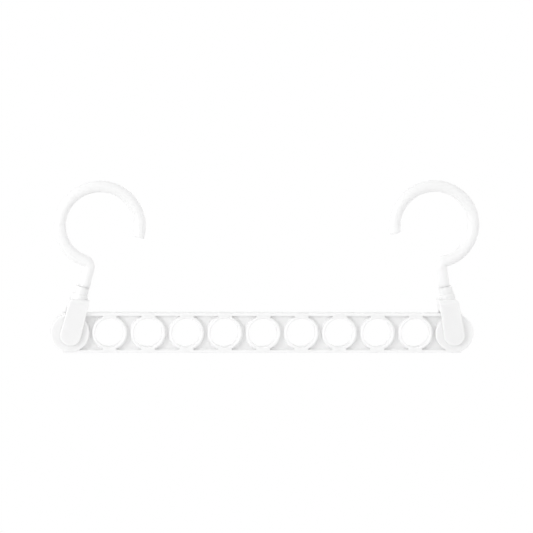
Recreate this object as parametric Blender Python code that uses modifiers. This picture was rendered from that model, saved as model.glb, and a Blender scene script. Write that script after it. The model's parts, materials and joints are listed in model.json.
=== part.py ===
"""Hanging drying rack: a moulded bar with a row of holes, carried by two hooks.

Each hook turns in the neck of a fork, and each fork snaps onto a round end of the bar and
swings there, so the bar hangs level from both hooks or drops to hang from one of them.
Lengths are in metres. The origin lies on the rail that the hooks hang from, midway between
them, with +X along the bar and +Z up.
"""

from math import acos, cos, degrees, pi, radians, sin, tan

import bpy
import bmesh

# Driving dimensions
HOLE_COUNT = 9
HOLE_BORE = 0.0242
COLLAR_WALL = 0.0025
BAR_DEPTH = 0.012
RAIL_THICKNESS = 0.0023
FORK_WIDTH = 0.0164
FOOT_WIDTH = 0.0177
TUBE_DIAMETER = 0.0097
RING_INNER_DIAMETER = 0.0578
LEFT_LEAN_DEG = 14.4
RIGHT_LEAN_DEG = 10.1

# Bar
COLLAR_GAP = 0.0032
END_GAP = 0.0025
COLLAR_SEAT = 0.00015
COLLAR_EDGE = 0.0008
BORE_EDGE = 0.0006
WEB_THICKNESS = 0.004
RAIL_OVERRUN = 0.0063
RAIL_EDGE = 0.0004
DISC_STEP = 0.00055
DISC_PROUD = 0.0005
DISC_EDGE = 0.0008
PIVOT_INSET = 0.0008
STUD_HOLE_EDGE = 0.0006

# Fork
SIDE_CLEARANCE = 0.0003
CHEEK_THICKNESS = 0.0026
CHEEK_DROP = 0.0018
CHEEK_EDGE = 0.0009
BRIDGE_THICKNESS = 0.00885
BRIDGE_ROUNDING = 0.006
SHOULDER_SLANT_DEG = 12.5
INNER_SHOULDER_ROUNDING = 0.001
OUTER_SHOULDER_ROUNDING = 0.0026
CROTCH_ROUNDING = 0.0012
STOP_CLEARANCE = 0.0004
STOP_DEG = 16.0
STUD_DIAMETER = 0.008
STUD_LENGTH = 0.0045
STUD_EDGE = 0.0008
STUD_CLEARANCE = 0.0003
NECK_BASE_DIAMETER = 0.0134
NECK_BASE_HEIGHT = 0.0044
NECK_DIAMETER = 0.0118
NECK_HEIGHT = 0.0062
NECK_EDGE = 0.0004

# Hook
RING_RISE = 0.05264
HEEL_RADIUS = 0.0317
HEEL_START_DEG = 162.0
BEND_RADIUS = 0.0056
TIP_ANGLE_DEG = -1.2
TIP_ROUNDING = 0.0014
SEAT_CLEARANCE = 0.0003
JOURNAL_DIAMETER = 0.006
JOURNAL_CLEARANCE = 0.0003
JOURNAL_ROOT = 0.003
SNAP_HEAD_DIAMETER = 0.0084
SNAP_HEAD_LIP = 0.001
SNAP_HEAD_LEAD = 0.0022
SNAP_POCKET_DEPTH = 0.0045
SNAP_POCKET_CLEARANCE = 0.0006
SNAP_SLOT_WIDTH = 0.0018
SNAP_SLOT_DEPTH = 0.008

# Overrun of every cutter
OVERRUN = 0.002

# Facets
COLLAR_STEPS = 32
DISC_STEPS = 40
SMALL_STEPS = 24
RING_STEP_DEG = 6.5
BEND_STEPS = 6
ROUNDING_STEPS = 3
CHEEK_STEPS = 14
TUBE_RESOLUTION = 4
SMOOTH_ANGLE_DEG = 40.0
MERGE_DISTANCE = 0.000001

# Sizes that follow from the ones above
COLLAR_RADIUS = HOLE_BORE / 2 + COLLAR_WALL
HOLE_PITCH = 2 * COLLAR_RADIUS + COLLAR_GAP
BAR_HALF_HEIGHT = COLLAR_RADIUS - COLLAR_SEAT + RAIL_THICKNESS
DISC_RADIUS = BAR_HALF_HEIGHT - DISC_STEP
DISC_DEPTH = BAR_DEPTH + 2 * DISC_PROUD
HOLE_ROW_LENGTH = (HOLE_COUNT - 1) * HOLE_PITCH
DISC_X = HOLE_ROW_LENGTH / 2 + COLLAR_RADIUS + END_GAP + DISC_RADIUS
PIVOT_X = DISC_X - PIVOT_INSET
STUD_HOLE_DIAMETER = STUD_DIAMETER + 2 * STUD_CLEARANCE
CHEEK_GAP = DISC_DEPTH + 2 * SIDE_CLEARANCE
FORK_DEPTH = CHEEK_GAP + 2 * CHEEK_THICKNESS
CORNER_REACH = FORK_WIDTH / 2 * sin(radians(STOP_DEG))
BRIDGE_BOTTOM = (BAR_HALF_HEIGHT + STOP_CLEARANCE + CORNER_REACH) / cos(radians(STOP_DEG))
BRIDGE_TOP = BRIDGE_BOTTOM + BRIDGE_THICKNESS
CHEEK_BOTTOM = CHEEK_DROP + FOOT_WIDTH / 2
SHOULDER_RISE = FORK_WIDTH / 2 * tan(radians(SHOULDER_SLANT_DEG))
CROWN_REACH = BRIDGE_TOP + CHEEK_BOTTOM + FORK_WIDTH
NECK_TOP = BRIDGE_TOP + NECK_BASE_HEIGHT + NECK_HEIGHT
NECK_ROOT = BRIDGE_TOP - BRIDGE_THICKNESS / 2
JOURNAL_BORE = JOURNAL_DIAMETER + 2 * JOURNAL_CLEARANCE
SNAP_POCKET_DIAMETER = SNAP_HEAD_DIAMETER + 2 * SNAP_POCKET_CLEARANCE
TUBE_RADIUS = TUBE_DIAMETER / 2
RING_RADIUS = (RING_INNER_DIAMETER + TUBE_DIAMETER) / 2
STEM_OFFSET = (NECK_DIAMETER - TUBE_DIAMETER) / 2
RING_CENTRE_HEIGHT = NECK_TOP + RING_RISE


def crown_height(lean_deg):
    """Height above the pivot of the inner top of a leaning hook's ring, where the rail lies."""
    lean = radians(lean_deg)
    return RING_CENTRE_HEIGHT * cos(lean) - STEM_OFFSET * sin(lean) + RING_INNER_DIAMETER / 2


HANG_HEIGHT = (crown_height(LEFT_LEAN_DEG) + crown_height(RIGHT_LEAN_DEG)) / 2


def clear_scene():
    for item in list(bpy.data.objects):
        bpy.data.objects.remove(item, do_unlink=True)
    for group in list(bpy.data.collections):
        bpy.data.collections.remove(group)


def new_collection(name):
    group = bpy.data.collections.new(name)
    bpy.context.scene.collection.children.link(group)
    return group


def plastic(name, colour, roughness):
    """Moulded plastic with a plain colour."""
    material = bpy.data.materials.new(name)
    material.use_nodes = True
    shader = material.node_tree.nodes["Principled BSDF"]
    shader.inputs["Base Color"].default_value = colour
    shader.inputs["Roughness"].default_value = roughness
    shader.inputs["Metallic"].default_value = 0
    return material


def add_object(name, data, group, parent=None, location=(0, 0, 0), rotation=(0, 0, 0)):
    item = bpy.data.objects.new(name, data)
    group.objects.link(item)
    item.parent = parent
    item.location = location
    item.rotation_euler = rotation
    return item


def as_guide(item):
    """A shape that only cuts or joins another one."""
    item.hide_render = True
    item.display_type = "WIRE"
    return item


def smooth(mesh):
    mesh.shade_smooth()
    mesh.set_sharp_from_angle(angle=radians(SMOOTH_ANGLE_DEG))


def box_mesh(name, size):
    """A box centred on the origin."""
    mesh = bpy.data.meshes.new(name)
    shape = bmesh.new()
    bmesh.ops.create_cube(shape, size=1)
    bmesh.ops.scale(shape, vec=size, verts=shape.verts)
    shape.to_mesh(mesh)
    shape.free()
    return mesh


def edge_bevel(item, width):
    bevel = item.modifiers.new("edge", "BEVEL")
    bevel.width = width
    bevel.segments = 1
    return bevel


def turned(name, profile, steps, group, **placing):
    """A shape turned about its own Z from a profile of radius and height, listed top to bottom."""
    mesh = bpy.data.meshes.new(name)
    shape = bmesh.new()
    points = [shape.verts.new((radius, 0, height)) for radius, height in profile]
    for first, second in zip(points, points[1:]):
        shape.edges.new((first, second))
    shape.to_mesh(mesh)
    shape.free()
    item = add_object(name, mesh, group, **placing)
    screw = item.modifiers.new("turn", "SCREW")
    screw.axis = "Z"
    screw.steps = steps
    screw.render_steps = steps
    screw.use_merge_vertices = True
    screw.merge_threshold = MERGE_DISTANCE
    return item


def flat_outline(name, points, thickness, edge=0):
    """A closed outline in the XY plane given a thickness, with chamfered rims where edge is set."""
    curve = bpy.data.curves.new(name, "CURVE")
    curve.dimensions = "2D"
    curve.fill_mode = "BOTH"
    curve.extrude = thickness / 2 - edge
    curve.bevel_depth = edge
    curve.bevel_resolution = 0
    curve.offset = -edge
    spline = curve.splines.new("POLY")
    spline.points.add(len(points) - 1)
    for slot, (x, y) in zip(spline.points, points):
        slot.co = (x, y, 0, 1)
    spline.use_cyclic_u = True
    return mesh_of_curve(name, curve)


def mesh_of_curve(name, curve):
    """The closed mesh that a curve describes, with its caps welded."""
    holder = bpy.data.objects.new(name + "_curve", curve)
    bpy.context.scene.collection.objects.link(holder)
    graph = bpy.context.evaluated_depsgraph_get()
    mesh = bpy.data.meshes.new_from_object(holder.evaluated_get(graph))
    mesh.name = name
    bpy.data.objects.remove(holder, do_unlink=True)
    shape = bmesh.new()
    shape.from_mesh(mesh)
    bmesh.ops.remove_doubles(shape, verts=shape.verts, dist=MERGE_DISTANCE)
    bmesh.ops.recalc_face_normals(shape, faces=shape.faces)
    shape.to_mesh(mesh)
    shape.free()
    smooth(mesh)
    return mesh


def arc(centre, radius, start_deg, end_deg, steps):
    """Points on an arc, both ends included."""
    points = []
    for step in range(steps + 1):
        angle = radians(start_deg + (end_deg - start_deg) * step / steps)
        points.append((centre[0] + radius * cos(angle), centre[1] + radius * sin(angle)))
    return points


def combine(target, tool, operation):
    boolean = target.modifiers.new(operation.lower(), "BOOLEAN")
    boolean.operation = operation
    boolean.solver = "EXACT"
    boolean.object = as_guide(tool)


def drum_profile(radius, half_height, edge):
    """A disc with chamfered rims."""
    return [
        (0, half_height),
        (radius - edge, half_height),
        (radius, half_height - edge),
        (radius, edge - half_height),
        (radius - edge, -half_height),
        (0, -half_height),
    ]


def bore_profile(radius, half_height, edge):
    """A cutter for a hole that opens out by a chamfer at both of its mouths."""
    return [
        (0, half_height + OVERRUN),
        (radius + edge + OVERRUN, half_height + OVERRUN),
        (radius, half_height - edge),
        (radius, edge - half_height),
        (radius + edge + OVERRUN, -half_height - OVERRUN),
        (0, -half_height - OVERRUN),
    ]


def in_row(item, count, spacing):
    """Repeats a shape along X."""
    row = item.modifiers.new("row", "ARRAY")
    row.count = count
    row.use_relative_offset = False
    row.use_constant_offset = True
    row.constant_offset_displace = (spacing, 0, 0)
    return item


def across(x, frame):
    """Where a shape turned about its own Z lies with its axis across the bar."""
    return {"parent": frame, "location": (x, 0, 0), "rotation": (pi / 2, 0, 0)}


def make_bar(frame, parts, cutters):
    """Two rails on a thin web, nine collars with their holes, and a round disc at each end."""
    rail_height = BAR_HALF_HEIGHT - RAIL_THICKNESS / 2
    web = box_mesh("bar", (2 * DISC_X, WEB_THICKNESS, 2 * rail_height))
    bar = add_object("bar", web, parts, parent=frame)

    rail_length = 2 * (DISC_X + RAIL_OVERRUN)
    for name, height in (("top_rail", rail_height), ("bottom_rail", -rail_height)):
        mesh = box_mesh(name, (rail_length, BAR_DEPTH, RAIL_THICKNESS))
        rail = add_object(name, mesh, cutters, parent=frame, location=(0, 0, height))
        edge_bevel(rail, RAIL_EDGE)
        combine(bar, rail, "UNION")

    first_hole = across(-HOLE_ROW_LENGTH / 2, frame)
    collar = drum_profile(COLLAR_RADIUS, BAR_DEPTH / 2, COLLAR_EDGE)
    collars = turned("collars", collar, COLLAR_STEPS, cutters, **first_hole)
    combine(bar, in_row(collars, HOLE_COUNT, HOLE_PITCH), "UNION")

    disc = drum_profile(DISC_RADIUS, DISC_DEPTH / 2, DISC_EDGE)
    discs = turned("discs", disc, DISC_STEPS, cutters, **across(-DISC_X, frame))
    combine(bar, in_row(discs, 2, 2 * DISC_X), "UNION")

    hole = bore_profile(HOLE_BORE / 2, BAR_DEPTH / 2, BORE_EDGE)
    holes = turned("holes", hole, COLLAR_STEPS, cutters, **first_hole)
    combine(bar, in_row(holes, HOLE_COUNT, HOLE_PITCH), "DIFFERENCE")

    stud_hole = bore_profile(STUD_HOLE_DIAMETER / 2, DISC_DEPTH / 2, STUD_HOLE_EDGE)
    stud_holes = turned("stud_holes", stud_hole, SMALL_STEPS, cutters, **across(-PIVOT_X, frame))
    combine(bar, in_row(stud_holes, 2, 2 * PIVOT_X), "DIFFERENCE")
    return bar


def shoulder_corner(side, rounding):
    """A rounded end of the fork's slanted top, on the inner side at +1 or the outer side at -1."""
    slant = radians(SHOULDER_SLANT_DEG)
    x = side * (FORK_WIDTH / 2 - rounding)
    top = BRIDGE_TOP + x * tan(slant)
    start, end = (0, 90 + SHOULDER_SLANT_DEG) if side > 0 else (90 + SHOULDER_SLANT_DEG, 180)
    return arc((x, top - rounding / cos(slant)), rounding, start, end, ROUNDING_STEPS)


def cheek_outline():
    """The fork from the front: a round foot, sides that taper up and a top that slopes outwards."""
    bottom = arc((0, -CHEEK_DROP), FOOT_WIDTH / 2, 180, 360, CHEEK_STEPS)
    inner = shoulder_corner(1, INNER_SHOULDER_ROUNDING)
    outer = shoulder_corner(-1, OUTER_SHOULDER_ROUNDING)
    return bottom + inner + outer


def arch_outline():
    """The space between the cheeks from the side, open below and rounded where it meets them."""
    inner = CHEEK_GAP / 2
    crotch = BRIDGE_BOTTOM - CROTCH_ROUNDING
    foot = -CHEEK_BOTTOM - OVERRUN
    right_crotch = arc((inner - CROTCH_ROUNDING, crotch), CROTCH_ROUNDING, 0, 90, ROUNDING_STEPS)
    left_crotch = arc((CROTCH_ROUNDING - inner, crotch), CROTCH_ROUNDING, 90, 180, ROUNDING_STEPS)
    return [(inner, foot)] + right_crotch + left_crotch + [(-inner, foot)]


def crown_outline():
    """A block from the side whose top is rounded to the front and back, with its peak at 0."""
    outer = FORK_DEPTH / 2
    wide = outer + OVERRUN
    front = arc((outer - BRIDGE_ROUNDING, -BRIDGE_ROUNDING), BRIDGE_ROUNDING, 0, 90, ROUNDING_STEPS)
    back = arc((BRIDGE_ROUNDING - outer, -BRIDGE_ROUNDING), BRIDGE_ROUNDING, 90, 180, ROUNDING_STEPS)
    right = [(wide, -CROWN_REACH), (wide, -BRIDGE_ROUNDING)]
    left = [(-wide, -BRIDGE_ROUNDING), (-wide, -CROWN_REACH)]
    return right + front + back + left


def neck_profile():
    """A stepped neck that stands on the bridge and carries the turning hook."""
    base = NECK_BASE_DIAMETER / 2
    radius = NECK_DIAMETER / 2
    step = BRIDGE_TOP + NECK_BASE_HEIGHT
    return [
        (0, NECK_TOP),
        (radius - NECK_EDGE, NECK_TOP),
        (radius, NECK_TOP - NECK_EDGE),
        (radius, step),
        (base - NECK_EDGE, step),
        (base, step - NECK_EDGE),
        (base, NECK_ROOT),
        (0, NECK_ROOT),
    ]


def swivel_bore_profile():
    """The hook's bore through neck and bridge, with the pocket for its snap head below."""
    bore = JOURNAL_BORE / 2
    pocket = SNAP_POCKET_DIAMETER / 2
    return [
        (0, NECK_TOP + OVERRUN),
        (bore, NECK_TOP + OVERRUN),
        (bore, BRIDGE_BOTTOM + SNAP_POCKET_DEPTH),
        (pocket, BRIDGE_BOTTOM + SNAP_POCKET_DEPTH),
        (pocket, BRIDGE_BOTTOM - OVERRUN),
        (0, BRIDGE_BOTTOM - OVERRUN),
    ]


def stud_profile():
    """A round stud with a bevelled end, rooted in the cheek and pointing along -Z."""
    radius = STUD_DIAMETER / 2
    root = CHEEK_THICKNESS / 2
    return [
        (0, root),
        (radius, root),
        (radius, STUD_EDGE - STUD_LENGTH),
        (radius - STUD_EDGE, -STUD_LENGTH),
        (0, -STUD_LENGTH),
    ]


def make_fork(name, frame, parts, cutters):
    """A fork that straddles an end disc, snaps in with two studs and carries a hook's neck."""
    upright = (pi / 2, 0, 0)
    sideways = (pi / 2, 0, pi / 2)
    front = flat_outline(name, cheek_outline(), FORK_DEPTH, CHEEK_EDGE)
    fork = add_object(name, front, parts, parent=frame, rotation=upright)

    side = flat_outline(name + "_arch", arch_outline(), FORK_WIDTH + 2 * OVERRUN)
    arch = add_object(name + "_arch", side, cutters, parent=frame, rotation=sideways)
    combine(fork, arch, "DIFFERENCE")

    side = flat_outline(name + "_crown", crown_outline(), FOOT_WIDTH + 2 * OVERRUN)
    peak = (0, 0, BRIDGE_TOP + SHOULDER_RISE)
    crown = add_object(name + "_crown", side, cutters, frame, peak, sideways)
    combine(fork, crown, "INTERSECT")

    neck = turned(name + "_neck", neck_profile(), SMALL_STEPS, cutters, parent=frame)
    combine(fork, neck, "UNION")

    for side_name, turn, y in (("front", pi / 2, -CHEEK_GAP / 2), ("back", -pi / 2, CHEEK_GAP / 2)):
        label = name + "_stud_" + side_name
        place = {"parent": frame, "location": (0, y, 0), "rotation": (turn, 0, 0)}
        combine(fork, turned(label, stud_profile(), SMALL_STEPS, cutters, **place), "UNION")

    bore = turned(name + "_bore", swivel_bore_profile(), SMALL_STEPS, cutters, parent=frame)
    combine(fork, bore, "DIFFERENCE")
    return fork


def hook_route():
    """The centre line of the hook with a radius at each point, in its own X and Z.

    The swivel axis is X = 0 and the neck's top is Z = 0. The tip points to +X. The ring closes
    in a little over its heel, the part that runs down to the bend above the stem.
    """
    centre = (STEM_OFFSET, RING_RISE)
    inset = RING_RADIUS - HEEL_RADIUS
    heel_start = radians(HEEL_START_DEG)
    heel_centre = (centre[0] + inset * cos(heel_start), centre[1] + inset * sin(heel_start))
    bend_x = STEM_OFFSET - BEND_RADIUS
    reach = HEEL_RADIUS + BEND_RADIUS
    slant = acos((heel_centre[0] - bend_x) / reach)
    bend_z = heel_centre[1] - reach * sin(slant)
    heel_end_deg = 180 + degrees(slant)

    rounding_deg = degrees(TIP_ROUNDING / RING_RADIUS)
    ring_start_deg = TIP_ANGLE_DEG + rounding_deg
    ring_steps = round((HEEL_START_DEG - ring_start_deg) / RING_STEP_DEG)
    heel_steps = round((heel_end_deg - HEEL_START_DEG) / RING_STEP_DEG)
    ring = arc(centre, RING_RADIUS, ring_start_deg, HEEL_START_DEG, ring_steps)
    heel = arc(heel_centre, HEEL_RADIUS, HEEL_START_DEG, heel_end_deg, heel_steps)
    bend = arc((bend_x, bend_z), BEND_RADIUS, heel_end_deg - 180, 0, BEND_STEPS)
    tip = tip_points(centre, rounding_deg)
    stem_end = (STEM_OFFSET, SEAT_CLEARANCE)
    body = [(x, z, 1) for x, z in ring + heel[1:] + bend[1:] + [stem_end]]
    return tip + body


def tip_points(centre, rounding_deg):
    """The rounded edge of the tip: places on the ring and the share of the tube's radius there."""
    points = []
    for step in range(ROUNDING_STEPS):
        rise_deg = 90 * step / ROUNDING_STEPS
        along_deg = TIP_ANGLE_DEG + rounding_deg * (1 - cos(radians(rise_deg)))
        inset = TIP_ROUNDING * (1 - sin(radians(rise_deg)))
        x, z = arc(centre, RING_RADIUS, along_deg, along_deg, 1)[0]
        points.append((x, z, 1 - inset / TUBE_RADIUS))
    return points


def tube_mesh(name, route):
    curve = bpy.data.curves.new(name, "CURVE")
    curve.dimensions = "3D"
    curve.bevel_depth = TUBE_RADIUS
    curve.bevel_resolution = TUBE_RESOLUTION
    curve.use_fill_caps = True
    spline = curve.splines.new("POLY")
    spline.points.add(len(route) - 1)
    for slot, (x, z, radius_share) in zip(spline.points, route):
        slot.co = (x, 0, z, 1)
        slot.radius = radius_share
    return mesh_of_curve(name, curve)


def journal_profile():
    """The hook's journal with its snap head, in heights from the neck's top."""
    journal = JOURNAL_DIAMETER / 2
    head = SNAP_HEAD_DIAMETER / 2
    ledge = BRIDGE_BOTTOM + SNAP_POCKET_DEPTH - SEAT_CLEARANCE - NECK_TOP
    lip = ledge - SNAP_HEAD_LIP
    end = lip - SNAP_HEAD_LEAD
    return [
        (0, JOURNAL_ROOT),
        (journal, JOURNAL_ROOT),
        (journal, ledge),
        (head, ledge),
        (head, lip),
        (journal - JOURNAL_CLEARANCE, end),
        (0, end),
    ]


def make_hook(name, seat, parts, cutters):
    """An open ring on a stem, with a journal and a split snap head that hold it in the neck."""
    hook = add_object(name, tube_mesh(name, hook_route()), parts, parent=seat)

    profile = journal_profile()
    journal = turned(name + "_journal", profile, SMALL_STEPS, cutters, parent=seat)
    combine(hook, journal, "UNION")

    head_end = profile[-1][1]
    slot_height = SNAP_SLOT_DEPTH + OVERRUN
    slot_size = (SNAP_SLOT_WIDTH, SNAP_HEAD_DIAMETER + 2 * OVERRUN, slot_height)
    slot_centre = (0, 0, head_end + SNAP_SLOT_DEPTH - slot_height / 2)
    mesh = box_mesh(name + "_slot", slot_size)
    slot = add_object(name + "_slot", mesh, cutters, parent=seat, location=slot_centre)
    combine(hook, slot, "DIFFERENCE")
    return hook


def make_side(side, x, lean_deg, turn, frame, parts, cutters):
    """A fork and its hook on one end of the bar. Their own +X points along the bar, inwards."""
    tilt = (0, radians(lean_deg), turn)
    pivot = add_object(side + "_pivot", None, parts, frame, (x, 0, 0), tilt)
    seat = add_object(side + "_seat", None, parts, pivot, (0, 0, NECK_TOP))
    fork = make_fork(side + "_fork", pivot, parts, cutters)
    hook = make_hook(side + "_hook", seat, parts, cutters)
    return fork, hook


def main():
    clear_scene()
    parts = new_collection("hanging_drying_rack")
    cutters = new_collection("cutters")
    frame = add_object("bar_frame", None, parts, None, (0, 0, -HANG_HEIGHT))

    bar = make_bar(frame, parts, cutters)
    left = make_side("left", -PIVOT_X, LEFT_LEAN_DEG, 0, frame, parts, cutters)
    right = make_side("right", PIVOT_X, RIGHT_LEAN_DEG, pi, frame, parts, cutters)

    bar.data.materials.append(plastic("bar_plastic", (0.88, 0.885, 0.89, 1), 0.35))
    for fork, hook in (left, right):
        fork.data.materials.append(plastic(fork.name + "_plastic", (0.9, 0.9, 0.9, 1), 0.3))
        hook.data.materials.append(plastic(hook.name + "_plastic", (0.91, 0.91, 0.91, 1), 0.28))
    bpy.context.view_layer.update()


main()
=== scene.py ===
"""Hanging drying rack, dressed over its CAD frame: white moulded plastic in soft studio light.

The bar, the forks and the hooks are modelled again at a finer grain than the CAD nodes, with the
rounded edges that a mould leaves. Lengths are in metres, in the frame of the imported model.
"""

import json
from math import acos, cos, pi, radians, sin, tan

import bmesh
import bpy
from bpy.props import FloatProperty, FloatVectorProperty, IntProperty, PointerProperty
from bpy.types import Operator, Panel, PropertyGroup
from mathutils import Matrix, Vector


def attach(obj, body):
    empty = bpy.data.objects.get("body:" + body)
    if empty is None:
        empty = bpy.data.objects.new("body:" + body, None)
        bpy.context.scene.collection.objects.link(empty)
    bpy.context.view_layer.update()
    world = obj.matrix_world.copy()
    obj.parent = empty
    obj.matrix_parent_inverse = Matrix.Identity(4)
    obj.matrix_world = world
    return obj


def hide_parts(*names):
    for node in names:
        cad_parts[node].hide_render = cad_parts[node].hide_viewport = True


bl_info = {
    "name": "Hanging drying rack",
    "version": (1, 0, 0),
    "blender": (4, 5, 0),
    "location": "View3D > Sidebar > Drying rack",
    "description": "Models a bar with a row of holes on two swinging forks and swivelling hooks",
    "category": "Object",
}

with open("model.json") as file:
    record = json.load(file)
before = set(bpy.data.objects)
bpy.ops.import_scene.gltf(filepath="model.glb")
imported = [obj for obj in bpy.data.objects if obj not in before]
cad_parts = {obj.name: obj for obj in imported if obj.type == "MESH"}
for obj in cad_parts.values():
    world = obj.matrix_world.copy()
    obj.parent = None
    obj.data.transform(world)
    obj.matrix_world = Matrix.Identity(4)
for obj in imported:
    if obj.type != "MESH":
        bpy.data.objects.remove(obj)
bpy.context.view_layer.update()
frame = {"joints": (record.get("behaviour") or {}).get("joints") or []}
JOINTS = {joint["name"]: joint for joint in frame["joints"]}
SIDES = ("left", "right")

# Merging distance of points, and the overrun of every cutter beyond what it cuts
MERGE = 0.000001
OVERRUN = 0.002

# Edges flatter than the first angle shade smooth, faces within the second one count as flat, and
# edges sharper than the third one are rims
SMOOTH_ANGLE = radians(32)
FLAT_ANGLE = radians(0.3)
RIM_ANGLE = pi / 4

# Facets round small turned parts and round the neck, and the turn of a step round the rounded
# corners of an outline
SMALL_FACETS = 64
NECK_FACETS = 96
CORNER_STEP = radians(11)

# Steps of the hook's bend, the turn of a step along its ring, and of the last one before the tip
BEND_STEPS = 22
RING_STEP = radians(2)
TIP_TURN = radians(5)

# Width of the rendered frame in pixels, and of the camera's sensor in millimetres
FRAME_WIDTH = 533
SENSOR_WIDTH = 36


def length(name, description, default):
    return FloatProperty(
        name=name, description=description, default=default, min=0, precision=5, unit="LENGTH"
    )


def share(name, description, default):
    return FloatProperty(
        name=name, description=description, default=default, min=0, max=1, subtype="FACTOR"
    )


def watts(name, description, default):
    return FloatProperty(name=name, description=description, default=default, min=0, unit="POWER")


def rotation(name, description, default):
    return FloatProperty(
        name=name,
        description=description,
        default=radians(default),
        subtype="ANGLE",
        unit="ROTATION",
    )


def position(name, description, default):
    return FloatVectorProperty(
        name=name, description=description, default=default, subtype="TRANSLATION", unit="LENGTH"
    )


def steps(name, description, default):
    return IntProperty(name=name, description=description, default=default, min=1)


def colour(name, description, default):
    return FloatVectorProperty(
        name=name, description=description, default=default, size=3, min=0, max=1, subtype="COLOR"
    )


def linear(hex_value):
    """A colour written as sRGB hex, as the linear red, green and blue that Blender takes."""
    channels = [int(hex_value[place : place + 2], 16) / 255 for place in (1, 3, 5)]
    return [c / 12.92 if c <= 0.04045 else ((c + 0.055) / 1.055) ** 2.4 for c in channels]


class BarSizes(PropertyGroup):
    """Sizes of the bar."""

    hole_count: steps("Holes", "Number of hanger holes", 9)
    hole_bore: length("Hole bore", "Inside diameter of a hole", 0.0242)
    collar_wall: length("Collar wall", "Wall of the round collar of a hole", 0.0025)
    collar_gap: length("Collar gap", "Space between two collars", 0.0032)
    end_gap: length("End gap", "Space between the last collar and the disc", 0.0025)
    collar_seat: length("Collar seat", "How far a collar sinks into the rails", 0.00015)
    collar_relief: length("Collar relief", "Set-back of the collars from the rails", 0.00003)
    depth: length("Depth", "Depth of rails and collars", 0.012)
    rail: length("Rail", "Thickness of the top and bottom rails", 0.0023)
    web: length("Web", "Thickness of the web at mid-depth", 0.004)
    rail_overrun: length("Rail overrun", "How far the rails run past the disc's axis", 0.0063)
    collar_root: length("Collar root", "Depth of a collar's root in the web", 0.00002)
    disc_step: length("Disc step", "How far the disc stands below the rail", 0.00055)
    disc_proud: length("Disc proud", "How far a disc's face stands before the collars", 0.0005)
    pivot_inset: length("Pivot inset", "How far the stud hole lies inside the disc's axis", 0.0008)
    stud_hole: length("Stud hole", "Diameter of the hole for the fork's studs", 0.0086)
    collar_edge: length("Collar edge", "Rounding of a collar's outer edge", 0.0015)
    bore_edge: length("Bore edge", "Rounding of a hole's lip", 0.0009)
    rail_edge: length("Rail edge", "Rounding of the rails' edges", 0.0005)
    disc_edge: length("Disc edge", "Rounding of a disc's rim", 0.0008)
    fillet: length("Fillet", "Fillet where a wall rises from the web", 0.0015)
    tie_width: length("Tie width", "Width of the solid tie between a collar and a rail", 0.0116)
    tie_relief: length("Tie relief", "Set-back of the ties from the rails", 0.000015)
    turns: steps("Facets", "Facets round a collar or disc", 112)


class ForkSizes(PropertyGroup):
    """Sizes of a fork, in its own frame: pivot at 0, +X inwards along the bar, +Z up the neck."""

    width: length("Width", "Width at the shoulders", 0.0164)
    foot: length("Foot", "Width at the round foot", 0.0177)
    side_clearance: length("Side clearance", "Play between disc and cheek", 0.00012)
    cheek: length("Cheek", "Thickness of a cheek", 0.00278)
    cheek_drop: length("Cheek drop", "Drop of the round foot's centre below the pivot", 0.0018)
    cheek_edge: length("Cheek edge", "Rounding of the cheeks' outer rims", 0.002)
    inner_edge: length("Inner edge", "Rounding of the cheeks' inner rims", 0.0001)
    bridge: length("Bridge", "Thickness of the bridge on the swivel axis", 0.00885)
    bridge_rounding: length("Bridge rounding", "Rounding of the bridge to front and back", 0.006)
    inner_shoulder: length("Inner shoulder", "Rounding of the shoulder's inner corner", 0.001)
    outer_shoulder: length("Outer shoulder", "Rounding of the shoulder's outer corner", 0.0026)
    crotch: length("Crotch", "Rounding where the cheeks meet the bridge", 0.0012)
    stop_clearance: length("Stop clearance", "Space to the rail at the stop", 0.0004)
    stud: length("Stud", "Diameter of a stud", 0.008)
    stud_length: length("Stud length", "Length of a stud", 0.0045)
    stud_edge: length("Stud edge", "Lead-in of a stud", 0.0008)
    neck_base: length("Neck base", "Diameter of the neck's foot", 0.0134)
    neck_base_height: length("Neck base height", "Height of the neck's foot", 0.0044)
    neck: length("Neck", "Diameter of the neck", 0.0118)
    neck_height: length("Neck height", "Height of the neck above its foot", 0.0062)
    neck_edge: length("Neck edge", "Rounding of the neck's edges", 0.0004)
    neck_mouth: length("Neck mouth", "Rounding of the neck's edge at the joint", 0.00004)
    bore: length("Bore", "Bore for the hook's journal", 0.0066)
    pocket: length("Pocket", "Diameter of the pocket for the snap head", 0.0096)
    pocket_depth: length("Pocket depth", "Depth of that pocket", 0.0045)
    slant: rotation("Shoulder slant", "Slope of the top, down and outwards", 12.5)
    stop: rotation("Stop", "Lean inwards at which the bridge meets the rail", 16)


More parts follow.
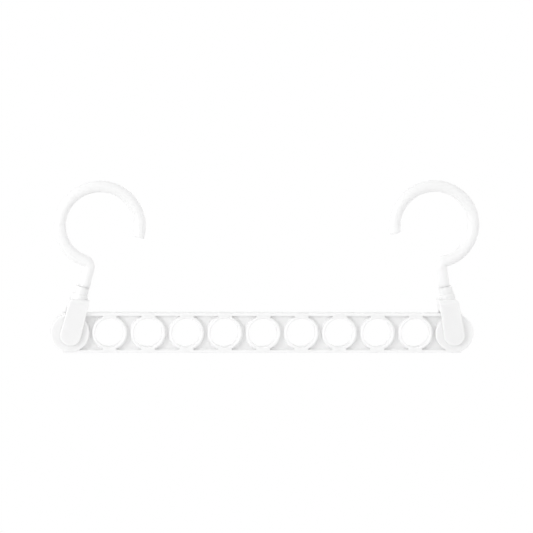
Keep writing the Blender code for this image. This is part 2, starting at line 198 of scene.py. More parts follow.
class HookSizes(PropertyGroup):
    """Sizes of a hook, in its own frame: neck's top at 0, +X inwards, +Z up the swivel axis."""

    tube: length("Tube", "Diameter of the hook's rod", 0.0097)
    ring_inner: length("Ring", "Inside diameter of the ring", 0.0578)
    ring_rise: length("Ring rise", "Height of the ring's centre over the neck", 0.05264)
    heel_radius: length("Heel radius", "Centre line radius of the ring's lower outer part", 0.0317)
    bend_radius: length("Bend radius", "Centre line radius of the bend over the stem", 0.0056)
    tip_rounding: length("Tip rounding", "Rounding of the tip's edge", 0.0014)
    foot_rounding: length("Foot rounding", "Rounding of the stem's lower edge", 0.00003)
    joint_gap: length("Joint gap", "Gap that shows between stem and neck", 0.00001)
    seat_clearance: length("Seat clearance", "Play of the snap head under its ledge", 0.0003)
    journal: length("Journal", "Diameter of the journal", 0.006)
    journal_root: length("Journal root", "How far the journal reaches into the stem", 0.003)
    head: length("Snap head", "Diameter of the snap head", 0.0084)
    head_lip: length("Snap head lip", "Height of the snap head's lip", 0.001)
    head_lead: length("Snap head lead", "Height of the snap head's lead-in", 0.0022)
    slot_width: length("Slot width", "Width of the split in the snap head", 0.0018)
    slot_depth: length("Slot depth", "Depth of the split in the snap head", 0.008)
    heel_start: rotation("Heel start", "Angle on the ring at which the heel begins", 162)
    tip_angle: rotation("Tip angle", "Angle on the ring at which the tip ends", -1.2)
    facets: steps("Facets", "Facets round the rod", 56)


class PlasticLook(PropertyGroup):
    """Colour and gloss of the mouldings, and how far light spreads below their skin."""

    bar: colour("Bar", "Polypropylene of the bar", linear("#F8F8F8"))
    fork: colour("Forks", "Polypropylene of the forks", linear("#F8F8F8"))
    hook: colour("Hooks", "Polypropylene of the hooks", linear("#F7F7F7"))
    bar_roughness: share("Bar roughness", "Satin skin of the bar", 0.36)
    fork_roughness: share("Fork roughness", "Satin skin of the forks", 0.34)
    hook_roughness: share("Hook roughness", "Polished skin of the hooks", 0.3)
    bar_spread: length("Bar spread", "Spread of light in the bar", 0.0017)
    fork_spread: length("Fork spread", "Spread of light in the forks", 0.0012)
    hook_spread: length("Hook spread", "Spread of light in the hooks", 0.0032)
    spread_share: share("Spread share", "Share of the light that spreads below the skin", 0.9)
    cloud: length("Cloud", "Width of the clouds that the melt's flow leaves", 0.03)
    cloud_tone: share("Cloud tone", "Brightness of the clouds against the plain colour", 0.98)
    patch: length("Gloss patch", "Width of the patches of a different gloss", 0.007)
    patch_range: share("Gloss range", "How far the roughness wanders each way", 0.035)
    peel: length("Peel", "Length of the waves of the orange peel", 0.0013)
    peel_depth: length("Peel depth", "Depth of the orange peel", 0.00002)
    peel_strength: share("Peel strength", "Strength of the orange peel", 0.25)
    parting: length("Parting line", "Half the width of the line where the mould parts", 0.00012)
    parting_height: length("Parting height", "Height of that line", 0.00003)
    parting_strength: share("Parting strength", "Strength of that line", 0.5)
    refraction: FloatProperty(
        name="Refraction", description="Refractive index of polypropylene", default=1.49, min=1
    )


class StudioLook(PropertyGroup):
    """Light, floor and camera."""

    floor_drop: length("Floor", "Depth of the floor below the rail", 1.8)
    floor_size: length("Floor size", "Side of the floor", 9.0)
    floor: colour("Floor colour", "Pale matt floor", linear("#F4F4F4"))
    ambient: share("Ambient", "Level of the light from all round", 0.84)
    lit_point: position("Lit point", "Where both lamps point", (0, 0, -0.06))
    key_place: position("Key place", "Low key lamp on the left", (-2.9, -2.0, 0.55))
    key_size: length("Key size", "Side of the square key lamp", 0.9)
    key_power: watts("Key power", "Power of the key lamp", 32)
    fill_place: position("Fill place", "Weak lamp on the right", (2.9, -1.2, 0.3))
    fill_size: length("Fill size", "Side of the square fill lamp", 1.2)
    fill_power: watts("Fill power", "Power of the fill lamp", 5)
    azimuth: rotation("Azimuth", "Camera's angle to the left of the front", 6)
    elevation: rotation("Elevation", "Camera's angle above the object", 5.5)
    roll: rotation("Roll", "Camera's turn about its line of sight", 0.7)
    aim_rise: length("Aim rise", "Height of the aim over the pivots", 0.06)
    aim_right: length("Aim right", "Shift of the aim to the right of the middle", 0.00257)
    aim_drop: length("Aim drop", "Shift of the aim downwards", 0.00413)
    distance: length("Camera distance", "Distance from the camera to the object", 3.4)
    pixel: length("Pixel", "Size of one pixel of the frame at the object", 0.0008425)


def sizes(part):
    return getattr(bpy.context.scene, "drying_rack_" + part)


def bar_plan():
    """The bar's places and heights that follow from its sizes."""
    bar = sizes("bar")
    collar_radius = bar.hole_bore / 2 + bar.collar_wall
    half_height = collar_radius - bar.collar_seat + bar.rail
    disc_radius = half_height - bar.disc_step
    pitch = 2 * collar_radius + bar.collar_gap
    row = (bar.hole_count - 1) * pitch
    disc_x = row / 2 + collar_radius + bar.end_gap + disc_radius
    return collar_radius, half_height, disc_radius, pitch, row, disc_x


def fork_plan():
    """Heights above the pivot of the bridge's underside and top and of the neck's step and top,
    and the gap between the cheeks.
    """
    bar, fork = sizes("bar"), sizes("fork")
    half_height = bar_plan()[1]
    corner = fork.width / 2 * sin(fork.stop)
    bottom = (half_height + fork.stop_clearance + corner) / cos(fork.stop)
    top = bottom + fork.bridge
    step = top + fork.neck_base_height
    gap = bar.depth + 2 * bar.disc_proud + 2 * fork.side_clearance
    return bottom, top, step, step + fork.neck_height, gap


def side_frame(side, joint):
    """Where a piece of one side stands: on that joint, +Z up the swivel axis, +X inwards."""
    swing = JOINTS[side + "_fork_swing"]
    swivel = JOINTS[side + "_hook_swivel"]
    across = -Vector(swing["axis"])
    up = Vector(swivel["axis"])
    turn = Matrix((across.cross(up), across, up)).transposed().to_4x4()
    return Matrix.Translation(JOINTS[side + joint]["pos_m"]) @ turn


def wire(shape, corners, closed):
    """Edges through corners of (x, z, rounding), each corner rounded to that radius."""
    points = [shape.verts.new((x, 0, z)) for x, z, rounding in corners]
    ends = points[1:] + points[:1] if closed else points[1:]
    for first, second in zip(points, ends):
        shape.edges.new((first, second))
    for point, (x, z, rounding) in zip(points, corners):
        if rounding:
            round_off(shape, point, rounding)
    bmesh.ops.remove_doubles(shape, verts=shape.verts, dist=MERGE)


def round_off(shape, point, rounding):
    """Rounds one corner of a wire."""
    arms = [edge.other_vert(point).co - point.co for edge in point.link_edges]
    turn = pi - arms[0].angle(arms[1])
    bmesh.ops.bevel(
        shape,
        geom=[point],
        offset=rounding * tan(turn / 2),
        offset_type="OFFSET",
        segments=max(3, round(turn / CORNER_STEP)),
        profile=0.5,
        affect="VERTICES",
        material=-1,
        clamp_overlap=False,
    )


def rounded(shape, edges, radius, segments=4):
    """Rounds these edges of a shape."""
    bmesh.ops.bevel(
        shape,
        geom=edges,
        offset=radius,
        offset_type="OFFSET",
        segments=segments,
        profile=0.5,
        affect="EDGES",
        material=-1,
        clamp_overlap=True,
    )
    return shape


def prism(corners, depth, rim=0.0):
    """A closed outline of (x, z, rounding) given a depth along Y, with rounded rims."""
    shape = bmesh.new()
    wire(shape, corners, closed=True)
    bmesh.ops.contextual_create(shape, geom=shape.edges[:])
    bmesh.ops.translate(shape, verts=shape.verts, vec=(0, -depth / 2, 0))
    raised = bmesh.ops.extrude_face_region(shape, geom=shape.faces[:])["geom"]
    verts = [item for item in raised if isinstance(item, bmesh.types.BMVert)]
    bmesh.ops.translate(shape, verts=verts, vec=(0, depth, 0))
    bmesh.ops.recalc_face_normals(shape, faces=shape.faces)
    if rim:
        ends = [face for face in shape.faces if abs(face.normal.y) > 0.99]
        rounded(shape, list(dict.fromkeys(edge for face in ends for edge in face.edges)), rim)
    return shape


def turned(profile, facets):
    """A shape turned about Z from a profile of (radius, height, rounding), with whole flat ends."""
    shape = bmesh.new()
    wire(shape, profile, closed=False)
    bmesh.ops.spin(
        shape,
        geom=shape.verts[:] + shape.edges[:],
        cent=(0, 0, 0),
        axis=(0, 0, 1),
        dvec=(0, 0, 0),
        angle=2 * pi,
        steps=facets,
        use_merge=True,
        use_duplicate=False,
    )
    bmesh.ops.remove_doubles(shape, verts=shape.verts, dist=MERGE)
    poles = [point for point in shape.verts if point.co.xy.length < MERGE]
    bmesh.ops.dissolve_verts(shape, verts=poles)
    bmesh.ops.recalc_face_normals(shape, faces=shape.faces)
    return shape


def placed(shape, matrix):
    bmesh.ops.transform(shape, matrix=matrix, verts=shape.verts)
    return shape


def across_bar(shape, x):
    """Lays a turned shape with its axis across the bar, at x."""
    return placed(shape, Matrix.Translation((x, 0, 0)) @ Matrix.Rotation(pi / 2, 4, "X"))


def in_row(shape, count, spacing):
    """Repeats a shape along X."""
    first = shape.verts[:] + shape.edges[:] + shape.faces[:]
    for place in range(1, count):
        copy = bmesh.ops.duplicate(shape, geom=first)["geom"]
        verts = [item for item in copy if isinstance(item, bmesh.types.BMVert)]
        bmesh.ops.translate(shape, verts=verts, vec=(place * spacing, 0, 0))
    return shape


def as_object(name, shape):
    mesh = bpy.data.meshes.new(name)
    shape.to_mesh(mesh)
    shape.free()
    item = bpy.data.objects.new(name, mesh)
    bpy.context.scene.collection.objects.link(item)
    return item


def combined(shape, *tools):
    """A shape after each (operation, tool) in turn, as a new shape. The old ones are used up."""
    body = as_object("body", shape)
    helpers = []
    for operation, tool in tools:
        helper = as_object("tool", tool)
        helpers.append(helper)
        boolean = body.modifiers.new(operation, "BOOLEAN")
        boolean.operation = operation
        boolean.solver = "EXACT"
        boolean.object = helper
    result = bmesh.new()
    result.from_object(body, bpy.context.evaluated_depsgraph_get())
    for item in [body] + helpers:
        mesh = item.data
        bpy.data.objects.remove(item, do_unlink=True)
        bpy.data.meshes.remove(mesh)
    bmesh.ops.remove_doubles(result, verts=result.verts, dist=MERGE)
    bmesh.ops.dissolve_degenerate(result, edges=result.edges, dist=MERGE)
    return result


def with_whole_faces(shape):
    """Joins the fans and slivers of each flat face into one face, so that it shades flat."""
    bmesh.ops.dissolve_limit(
        shape,
        angle_limit=FLAT_ANGLE,
        use_dissolve_boundaries=False,
        verts=shape.verts,
        edges=shape.edges,
        delimit=set(),
    )
    return shape


def dressed(name, shape, material, node):
    """A finished piece that takes the place of a CAD node and rides on its body."""
    piece = as_object(name, with_whole_faces(shape))
    piece.data.shade_smooth()
    piece.data.set_sharp_from_angle(angle=SMOOTH_ANGLE)
    weighted = piece.modifiers.new("flat faces", "WEIGHTED_NORMAL")
    weighted.keep_sharp = True
    piece.data.materials.append(material)
    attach(piece, node)
    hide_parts(node)
    return piece


def rail_section():
    """The bar's section, from the side: two rails joined by the web, with filleted corners."""
    bar = sizes("bar")
    half_height = bar_plan()[1]
    out, inner = bar.depth / 2, half_height - bar.rail
    web = bar.web / 2
    right = [
        (out, half_height, bar.rail_edge),
        (out, inner, bar.rail_edge),
        (web, inner, bar.fillet),
        (web, -inner, bar.fillet),
        (out, -inner, bar.rail_edge),
        (out, -half_height, bar.rail_edge),
    ]
    return right + [(-y, z, rounding) for y, z, rounding in reversed(right)]


def mirrored(profile):
    """The lower half of a profile of (radius, height, rounding), from its upper half."""
    return [(radius, -height, rounding) for radius, height, rounding in reversed(profile)]


def bore_cutter(bore, depth, lip):
    """A cutter for a hole through a depth, with a round lip at both mouths."""
    radius, half, wide = bore / 2, depth / 2, bore / 2 + lip
    above = [
        (0, half + OVERRUN, 0),
        (wide, half + OVERRUN, 0),
        (wide, half, 0),
        (radius, half, lip),
    ]
    return above + mirrored(above)


def bar_shape():
    """Two rails on a thin web, nine collars with their holes, and a round disc at each end."""
    bar = sizes("bar")
    collar_radius, half_height, disc_radius, pitch, row, disc_x = bar_plan()
    half_web = bar.web / 2 - bar.collar_root
    collar_half = bar.depth / 2 - bar.collar_relief
    disc_half = bar.depth / 2 + bar.disc_proud

    section = prism(rail_section(), 2 * (disc_x + bar.rail_overrun))
    ends = [edge for edge in section.edges if edge.calc_face_angle(0) > RIM_ANGLE]
    rims = [edge for edge in ends if abs(edge.verts[0].co.y - edge.verts[1].co.y) < MERGE]
    rounded(section, rims, bar.rail_edge / 2, segments=3)
    placed(section, Matrix.Rotation(pi / 2, 4, "Z"))

    above = [
        (0, collar_half, 0),
        (collar_radius, collar_half, bar.collar_edge),
        (collar_radius, half_web, bar.fillet),
        (collar_radius + bar.fillet, half_web, 0),
    ]
    collar = across_bar(turned(above + mirrored(above), bar.turns), -row / 2)
    collars = in_row(collar, bar.hole_count, pitch)

    tie_foot = half_height - bar.rail - 2 * bar.bore_edge
    tie = [
        (-bar.tie_width / 2, tie_foot, 0),
        (bar.tie_width / 2, tie_foot, 0),
        (bar.tie_width / 2, half_height - bar.rail + bar.rail_edge, 0),
        (-bar.tie_width / 2, half_height - bar.rail + bar.rail_edge, 0),
    ]
    tools = []
    for turn in (0, pi):
        block = placed(prism(tie, bar.depth - 2 * bar.tie_relief), Matrix.Rotation(turn, 4, "Y"))
        bmesh.ops.translate(block, verts=block.verts, vec=(-row / 2, 0, 0))
        tools.append(("UNION", in_row(block, bar.hole_count, pitch)))

    above = [(0, disc_half, 0), (disc_radius, disc_half, bar.disc_edge)]
    disc = across_bar(turned(above + mirrored(above), bar.turns), -disc_x)
    discs = in_row(disc, 2, 2 * disc_x)

    hole = turned(bore_cutter(bar.hole_bore, 2 * collar_half, bar.bore_edge), bar.turns)
    holes = in_row(across_bar(hole, -row / 2), bar.hole_count, pitch)

    pivot_x = disc_x - bar.pivot_inset
    hole = turned(bore_cutter(bar.stud_hole, 2 * disc_half, bar.bore_edge), bar.turns // 2)
    stud_holes = in_row(across_bar(hole, -pivot_x), 2, 2 * pivot_x)
    shape = combined(
        section,
        ("UNION", collars),
        *tools,
        ("UNION", discs),
        ("DIFFERENCE", holes),
        ("DIFFERENCE", stud_holes),
    )
    height = JOINTS["left_fork_swing"]["pos_m"][2]
    return placed(shape, Matrix.Translation((0, 0, height)))


def fork_shape():
    """A fork in its own frame, with slanted shoulders, two studs inside and a stepped neck."""
    fork = sizes("fork")
    bottom, top, step, neck_top, gap = fork_plan()
    half, round_foot = fork.width / 2, fork.foot / 2
    foot = -fork.cheek_drop - round_foot
    rise = half * tan(fork.slant)
    depth = gap + 2 * fork.cheek
    front = [
        (-round_foot, -fork.cheek_drop, 0),
        (-round_foot, foot, round_foot),
        (round_foot, foot, round_foot),
        (round_foot, -fork.cheek_drop, 0),
        (half, top + rise, fork.inner_shoulder),
        (-half, top - rise, fork.outer_shoulder),
    ]
    body = prism(front, depth, fork.cheek_edge)

    side_turn = Matrix.Rotation(pi / 2, 4, "Z")
    arch = [
        (-gap / 2, foot - OVERRUN, 0),
        (gap / 2, foot - OVERRUN, 0),
        (gap / 2, bottom, fork.crotch),
        (-gap / 2, bottom, fork.crotch),
    ]
    arch_cutter = placed(prism(arch, fork.width + 2 * OVERRUN), side_turn)
    body = combined(body, ("DIFFERENCE", arch_cutter))
    inner_rims = [
        edge
        for edge in body.edges
        if edge.calc_face_angle(0) > RIM_ANGLE
        and all(abs(point.co.y) < gap / 2 + MERGE for point in edge.verts)
        and all(point.co.z < bottom + MERGE for point in edge.verts)
    ]
    rounded(body, inner_rims, fork.inner_edge, segments=3)

    reach = top - foot + fork.width
    wide = depth / 2
    crown = [
        (-wide - OVERRUN, -reach, 0),
        (wide + OVERRUN, -reach, 0),
        (wide + OVERRUN, -fork.bridge_rounding, 0),
        (wide, -fork.bridge_rounding, 0),
        (wide, 0, fork.bridge_rounding),
        (-wide, 0, fork.bridge_rounding),
        (-wide, -fork.bridge_rounding, 0),
        (-wide - OVERRUN, -fork.bridge_rounding, 0),
    ]
    crown_place = Matrix.Translation((0, 0, top + rise)) @ side_turn
    crown_cutter = placed(prism(crown, fork.foot + 2 * OVERRUN), crown_place)

    base, neck = fork.neck_base / 2, fork.neck / 2
    root = top - fork.bridge / 2
    neck_profile = [
        (0, neck_top, 0),
        (neck, neck_top, fork.neck_mouth),
        (neck, step, fork.neck_edge / 2),
        (base, step, fork.neck_edge),
        (base, root, 0),
        (0, root, 0),
    ]
    stud = [
        (0, fork.cheek / 2, 0),
        (fork.stud / 2, fork.cheek / 2, 0),
        (fork.stud / 2, fork.stud_edge - fork.stud_length, fork.stud_edge / 4),
        (fork.stud / 2 - fork.stud_edge, -fork.stud_length, fork.stud_edge / 4),
        (0, -fork.stud_length, 0),
    ]
    studs = []
    for y, turn in ((-gap / 2, pi / 2), (gap / 2, -pi / 2)):
        place = Matrix.Translation((0, y, 0)) @ Matrix.Rotation(turn, 4, "X")
        studs.append(("UNION", placed(turned(stud, SMALL_FACETS), place)))
    pocket_top = bottom + fork.pocket_depth
    bore = [
        (0, neck_top + OVERRUN, 0),
        (fork.bore / 2, neck_top + OVERRUN, 0),
        (fork.bore / 2, pocket_top, 0),
        (fork.pocket / 2, pocket_top, fork.neck_edge / 2),
        (fork.pocket / 2, bottom - OVERRUN, 0),
        (0, bottom - OVERRUN, 0),
    ]
    return combined(
        body,
        ("INTERSECT", crown_cutter),
        ("UNION", turned(neck_profile, NECK_FACETS)),
        *studs,
        ("DIFFERENCE", turned(bore, SMALL_FACETS)),
    )


def hook_path():
    """The stem's X, the bend's centre and its turn, and the centres of the heel and the ring."""
    hook, fork = sizes("hook"), sizes("fork")
    ring_radius = (hook.ring_inner + hook.tube) / 2
    stem_x = (fork.neck - hook.tube) / 2
    ring = Vector((stem_x, 0, hook.ring_rise))
    inset = ring_radius - hook.heel_radius
    heel = ring + inset * Vector((cos(hook.heel_start), 0, sin(hook.heel_start)))
    bend_x = stem_x - hook.bend_radius
    reach = hook.heel_radius + hook.bend_radius
    slant = acos((heel.x - bend_x) / reach)
    bend = Vector((bend_x, 0, heel.z - reach * sin(slant)))
    return stem_x, bend, slant, heel, ring


def swept(shape, loop, centre, angle, count):
    """Carries a loop of edges on round a centre. A positive angle turns it from +X to +Z."""
    verts = list(dict.fromkeys(point for edge in loop for point in edge.verts))
    last = bmesh.ops.spin(
        shape,
        geom=verts + loop,
        cent=centre,
        axis=(0, -1, 0),
        dvec=(0, 0, 0),
        angle=angle,
        steps=count,
        use_merge=False,
        use_duplicate=False,
    )["geom_last"]
    return [item for item in last if isinstance(item, bmesh.types.BMEdge)]


def hook_shape():
    """An open ring on a stem in its own frame, with a journal and a split snap head below."""
    hook, fork = sizes("hook"), sizes("fork")
    bottom, _, _, neck_top, _ = fork_plan()
    stem_x, bend, slant, heel, ring = hook_path()

    rod = bmesh.new()
    bmesh.ops.create_circle(
        rod,
        cap_ends=False,
        radius=hook.tube / 2,
        segments=hook.facets,
        matrix=Matrix.Translation((stem_x, 0, hook.joint_gap)),
    )
    foot = rod.edges[:]
    raised = bmesh.ops.extrude_edge_only(rod, edges=foot)["geom"]
    verts = [item for item in raised if isinstance(item, bmesh.types.BMVert)]
    loop = [item for item in raised if isinstance(item, bmesh.types.BMEdge)]
    loop = [edge for edge in loop if all(point in verts for point in edge.verts)]
    bmesh.ops.translate(rod, verts=verts, vec=(0, 0, bend.z - hook.joint_gap))
    heel_turn = slant + pi - hook.heel_start
    ring_turn = hook.heel_start - hook.tip_angle - TIP_TURN
    loop = swept(rod, loop, bend, slant, BEND_STEPS)
    loop = swept(rod, loop, heel, -heel_turn, round(heel_turn / RING_STEP))
    loop = swept(rod, loop, ring, -ring_turn, round(ring_turn / RING_STEP))
    tip = swept(rod, loop, ring, -TIP_TURN, 1)
    for rim in (tip, foot):
        bmesh.ops.contextual_create(rod, geom=rim)
    bmesh.ops.recalc_face_normals(rod, faces=rod.faces)
    rounded(rod, tip, hook.tip_rounding, segments=7)
    rounded(rod, [edge for edge in foot if edge.is_valid], hook.foot_rounding, segments=3)

    journal, head = hook.journal / 2, hook.head / 2
    ledge = bottom + fork.pocket_depth - hook.seat_clearance - neck_top
    lip = ledge - hook.head_lip
    end = lip - hook.head_lead
    profile = [
        (0, hook.journal_root, 0),
        (journal, hook.journal_root, 0),
        (journal, ledge, 0),
        (head, ledge, 0),
        (head, lip, hook.head_lip / 4),
        (journal - hook.seat_clearance, end, hook.head_lip / 4),
        (0, end, 0),
    ]
    slot = bmesh.new()
    bmesh.ops.create_cube(slot, size=1)
    slot_height = hook.slot_depth + OVERRUN
    bmesh.ops.scale(
        slot, vec=(hook.slot_width, hook.head + 2 * OVERRUN, slot_height), verts=slot.verts
    )
    centre = Matrix.Translation((0, 0, end + hook.slot_depth - slot_height / 2))
    return combined(
        rod,
        ("UNION", turned(profile, SMALL_FACETS)),
        ("DIFFERENCE", placed(slot, centre)),
    )


def add_node(tree, kind, settings=None, links=None):
    """A node with its settings, and for each input a socket to link or a plain value."""
    item = tree.nodes.new(kind)
    for name, value in (settings or {}).items():
        setattr(item, name, value)
    for socket, value in (links or {}).items():
        if isinstance(value, bpy.types.NodeSocket):
            tree.links.new(value, item.inputs[socket])
        else:
            item.inputs[socket].default_value = value
    return item


def moulded_polypropylene(name, part):
    """Injection-moulded white polypropylene.

    The steel of the mould leaves a satin skin with a faint orange peel, broad soft highlights and
    a thin parting line at mid-depth. The white pigment lets a little light spread below the skin.
    """
    look = sizes("plastic")
    tint, roughness = getattr(look, part), getattr(look, part + "_roughness")
    material = bpy.data.materials.new(name)
    material.use_nodes = True
    tree = material.node_tree
    shader = tree.nodes["Principled BSDF"]
    coords = add_node(tree, "ShaderNodeTexCoord").outputs["Object"]

    # Flow of the melt: wide clouds, a trace darker
    flow = add_node(
        tree, "ShaderNodeTexNoise", links={"Vector": coords, "Scale": 1 / look.cloud, "Detail": 2.0}
    )
    shade = [channel * look.cloud_tone for channel in tint]
    base = add_node(
        tree,
        "ShaderNodeMix",
        {"data_type": "RGBA"},
        {0: flow.outputs["Fac"], 6: (*tint, 1), 7: (*shade, 1)},
    )
    tree.links.new(base.outputs[2], shader.inputs["Base Color"])

    # Gloss wanders a little from patch to patch
    patches = add_node(
        tree, "ShaderNodeTexNoise", links={"Vector": coords, "Scale": 1 / look.patch}
    )
    least, most = roughness - look.patch_range, roughness + look.patch_range
    gloss = add_node(
        tree, "ShaderNodeMapRange", links={0: patches.outputs["Fac"], 3: least, 4: most}
    )
    tree.links.new(gloss.outputs[0], shader.inputs["Roughness"])

    # Orange peel: short, shallow waves
    peel = add_node(
        tree, "ShaderNodeTexNoise", links={"Vector": coords, "Scale": 1 / look.peel, "Detail": 1.0}
    )
    skin = add_node(
        tree,
        "ShaderNodeBump",
        links={
            "Strength": look.peel_strength,
            "Distance": look.peel_depth,
            "Height": peel.outputs["Fac"],
        },
    )

    # Parting line: a fine ridge round the edge at mid-depth
    axes = add_node(tree, "ShaderNodeSeparateXYZ", links={0: coords})
    off = add_node(tree, "ShaderNodeMath", {"operation": "ABSOLUTE"}, {0: axes.outputs["Y"]})
    ridge = add_node(
        tree,
        "ShaderNodeMapRange",
        {"interpolation_type": "SMOOTHSTEP"},
        {0: off.outputs[0], 1: look.parting, 2: 0.0, 3: 0.0, 4: 1.0},
    )
    line = add_node(
        tree,
        "ShaderNodeBump",
        links={
            "Strength": look.parting_strength,
            "Distance": look.parting_height,
            "Height": ridge.outputs[0],
            "Normal": skin.outputs[0],
        },
    )
    tree.links.new(line.outputs[0], shader.inputs["Normal"])

    shader.inputs["IOR"].default_value = look.refraction
    shader.inputs["Subsurface Weight"].default_value = look.spread_share
    shader.inputs["Subsurface Radius"].default_value = (1.0, 1.0, 1.0)
    shader.inputs["Subsurface Scale"].default_value = getattr(look, part + "_spread")
    return material


def seen_directly(tree):
    """1 for what the camera sees, also in a reflection or through something, else 0."""
    path = add_node(tree, "ShaderNodeLightPath").outputs
    seen = add_node(
        tree,
        "ShaderNodeMath",
        {"operation": "ADD"},
        {0: path["Is Camera Ray"], 1: path["Is Glossy Ray"]},
    )
    return add_node(
        tree,
        "ShaderNodeMath",
        {"operation": "ADD", "use_clamp": True},
        {0: seen.outputs[0], 1: path["Is Transmission Ray"]},
    ).outputs[0]


def matt_floor(name, tint, size):
    """Pale matt paper that keeps the shadow and fades to plain white away from the object.

    The fade runs from an eighth to a third of the floor's side, and only what is seen fades.
    """
    material = bpy.data.materials.new(name)
    material.use_nodes = True
    tree = material.node_tree
    tree.nodes.clear()
    coords = add_node(tree, "ShaderNodeTexCoord").outputs["Object"]
    axes = add_node(tree, "ShaderNodeSeparateXYZ", links={0: coords})
    flat = add_node(
        tree, "ShaderNodeCombineXYZ", links={0: axes.outputs["X"], 1: axes.outputs["Y"]}
    )
    away = add_node(tree, "ShaderNodeVectorMath", {"operation": "LENGTH"}, {0: flat.outputs[0]})
    far = add_node(
        tree,
        "ShaderNodeMapRange",
        {"interpolation_type": "SMOOTHSTEP"},
        {0: away.outputs["Value"], 1: size / 8, 2: size / 3},
    )
    blank = add_node(
        tree,
        "ShaderNodeMath",
        {"operation": "MULTIPLY"},
        {0: far.outputs[0], 1: seen_directly(tree)},
    )
    paper = add_node(tree, "ShaderNodeBsdfDiffuse", links={"Color": (*tint, 1)})
    white = add_node(tree, "ShaderNodeEmission", links={"Color": (1, 1, 1, 1), "Strength": 1.0})
    surface = add_node(
        tree,
        "ShaderNodeMixShader",
        links={0: blank.outputs[0], 1: paper.outputs[0], 2: white.outputs[0]},
    )
    add_node(tree, "ShaderNodeOutputMaterial", links={"Surface": surface.outputs[0]})
    return material


def studio_world(level):
    """Even light from all round, and plain white where it is seen."""
    world = bpy.data.worlds.new("white studio")
    world.use_nodes = True
    tree = world.node_tree
    tree.nodes.clear()
    tone = add_node(
        tree,
        "ShaderNodeMix",
        {"data_type": "RGBA"},
        {0: seen_directly(tree), 6: (level, level, level, 1), 7: (1, 1, 1, 1)},
    )
    light = add_node(
        tree, "ShaderNodeBackground", links={"Color": tone.outputs[2], "Strength": 1.0}
    )
    add_node(tree, "ShaderNodeOutputWorld", links={"Surface": light.outputs[0]})
    bpy.context.scene.world = world


def soft_lamp(name, spot, size, power):
    """A square lamp that faces the lit point and isn't seen itself."""
    lamp = bpy.data.lights.new(name, "AREA")
    lamp.size = size
    lamp.energy = power
    item = bpy.data.objects.new(name, lamp)
    item.location = spot
    aim = Vector(sizes("studio").lit_point) - Vector(spot)
    item.rotation_euler = aim.to_track_quat("-Z", "Y").to_euler()
    item.visible_camera = False
    bpy.context.scene.collection.objects.link(item)


def photo_camera():
    """The camera, a little to the left of the front and above it, nearly level."""
    studio = sizes("studio")
    side, rise, roll = -studio.azimuth, studio.elevation, studio.roll
    ahead = Vector((-sin(side) * cos(rise), cos(side) * cos(rise), -sin(rise)))
    level_right = Vector((cos(side), sin(side), 0))
    level_up = Vector((-sin(side) * sin(rise), cos(side) * sin(rise), cos(rise)))
    right = level_right * cos(roll) + level_up * sin(roll)
    up = level_up * cos(roll) - level_right * sin(roll)
    height = studio.aim_rise + JOINTS["left_fork_swing"]["pos_m"][2]
    target = Vector((0, 0, height)) + right * studio.aim_right - up * studio.aim_drop
    lens = bpy.data.cameras.new("camera")
    lens.sensor_width = SENSOR_WIDTH
    lens.lens = studio.distance / studio.pixel * SENSOR_WIDTH / FRAME_WIDTH
    lens.clip_end = 100
    camera = bpy.data.objects.new("camera", lens)
    pose = Matrix((right, up, -ahead)).transposed().to_4x4()
    camera.matrix_world = Matrix.Translation(target - ahead * studio.distance) @ pose
    bpy.context.scene.collection.objects.link(camera)
    bpy.context.scene.camera = camera


class OBJECT_OT_rack_bar(Operator):
    """Models the bar with its holes and end discs"""

    bl_idname = "object.rack_bar"
    bl_label = "Bar"

    def execute(self, context):
        plastic = moulded_polypropylene("bar satin moulded polypropylene", "bar")
        dressed("bar_moulding", bar_shape(), plastic, "bar")
        return {"FINISHED"}


class OBJECT_OT_rack_forks(Operator):
    """Models the two forks that swing on the bar's discs"""

    bl_idname = "object.rack_forks"
    bl_label = "Forks"

    def execute(self, context):
        plastic = moulded_polypropylene("fork satin moulded polypropylene", "fork")
        for side in SIDES:
            shape = placed(fork_shape(), side_frame(side, "_fork_swing"))
            dressed(side + "_fork_moulding", shape, plastic, side + "_fork")
        return {"FINISHED"}


class OBJECT_OT_rack_hooks(Operator):
    """Models the two hooks that turn in the forks' necks"""

    bl_idname = "object.rack_hooks"
    bl_label = "Hooks"

    def execute(self, context):
        plastic = moulded_polypropylene("hook polished moulded polypropylene", "hook")
        for side in SIDES:
            shape = placed(hook_shape(), side_frame(side, "_hook_swivel"))
            dressed(side + "_hook_moulding", shape, plastic, side + "_hook")
        return {"FINISHED"}


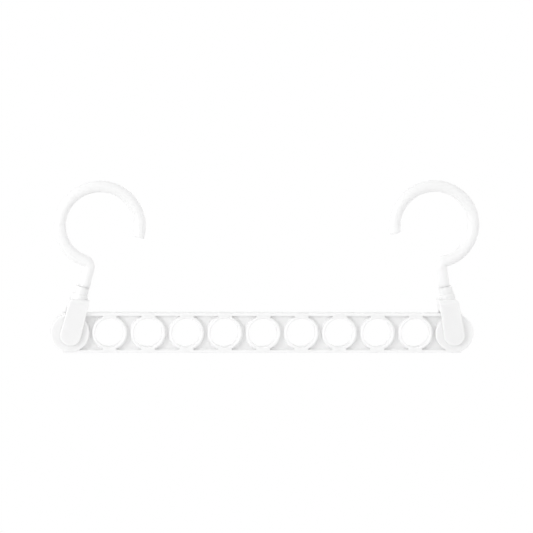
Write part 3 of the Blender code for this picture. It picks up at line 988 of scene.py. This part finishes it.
class SCENE_OT_rack_studio(Operator):
    """Sets the floor, the light and the camera"""

    bl_idname = "scene.rack_studio"
    bl_label = "Studio"

    def execute(self, context):
        studio = sizes("studio")
        shape = bmesh.new()
        bmesh.ops.create_grid(shape, x_segments=1, y_segments=1, size=studio.floor_size / 2)
        bmesh.ops.translate(shape, verts=shape.verts, vec=(0, 0, -studio.floor_drop))
        floor = as_object("floor", shape)
        floor.data.materials.append(
            matt_floor("pale matt floor paper", studio.floor, studio.floor_size)
        )
        studio_world(studio.ambient)
        soft_lamp("key", studio.key_place, studio.key_size, studio.key_power)
        soft_lamp("fill", studio.fill_place, studio.fill_size, studio.fill_power)
        photo_camera()
        context.scene.view_settings.view_transform = "Standard"
        return {"FINISHED"}


class VIEW3D_PT_drying_rack(Panel):
    """Lists the sizes, the colours and the steps of the drying rack"""

    bl_label = "Drying rack"
    bl_space_type = "VIEW_3D"
    bl_region_type = "UI"
    bl_category = "Drying rack"

    def draw(self, context):
        for part in GROUPS:
            box = self.layout.box()
            box.label(text=part.capitalize())
            group = sizes(part)
            for name in group.bl_rna.properties.keys():
                if name not in {"rna_type", "name"}:
                    box.prop(group, name)
        for step in STEPS:
            self.layout.operator(step.bl_idname)


GROUPS = {
    "bar": BarSizes,
    "fork": ForkSizes,
    "hook": HookSizes,
    "plastic": PlasticLook,
    "studio": StudioLook,
}
STEPS = (OBJECT_OT_rack_bar, OBJECT_OT_rack_forks, OBJECT_OT_rack_hooks, SCENE_OT_rack_studio)


def register():
    for item in (*GROUPS.values(), *STEPS, VIEW3D_PT_drying_rack):
        bpy.utils.register_class(item)
    for part, group in GROUPS.items():
        setattr(bpy.types.Scene, "drying_rack_" + part, PointerProperty(type=group))


def unregister():
    for part in GROUPS:
        delattr(bpy.types.Scene, "drying_rack_" + part)
    for item in (VIEW3D_PT_drying_rack, *STEPS, *GROUPS.values()):
        bpy.utils.unregister_class(item)


def main():
    register()
    bpy.ops.object.rack_bar()
    bpy.ops.object.rack_forks()
    bpy.ops.object.rack_hooks()
    bpy.ops.scene.rack_studio()


if __name__ == "__main__":
    main()
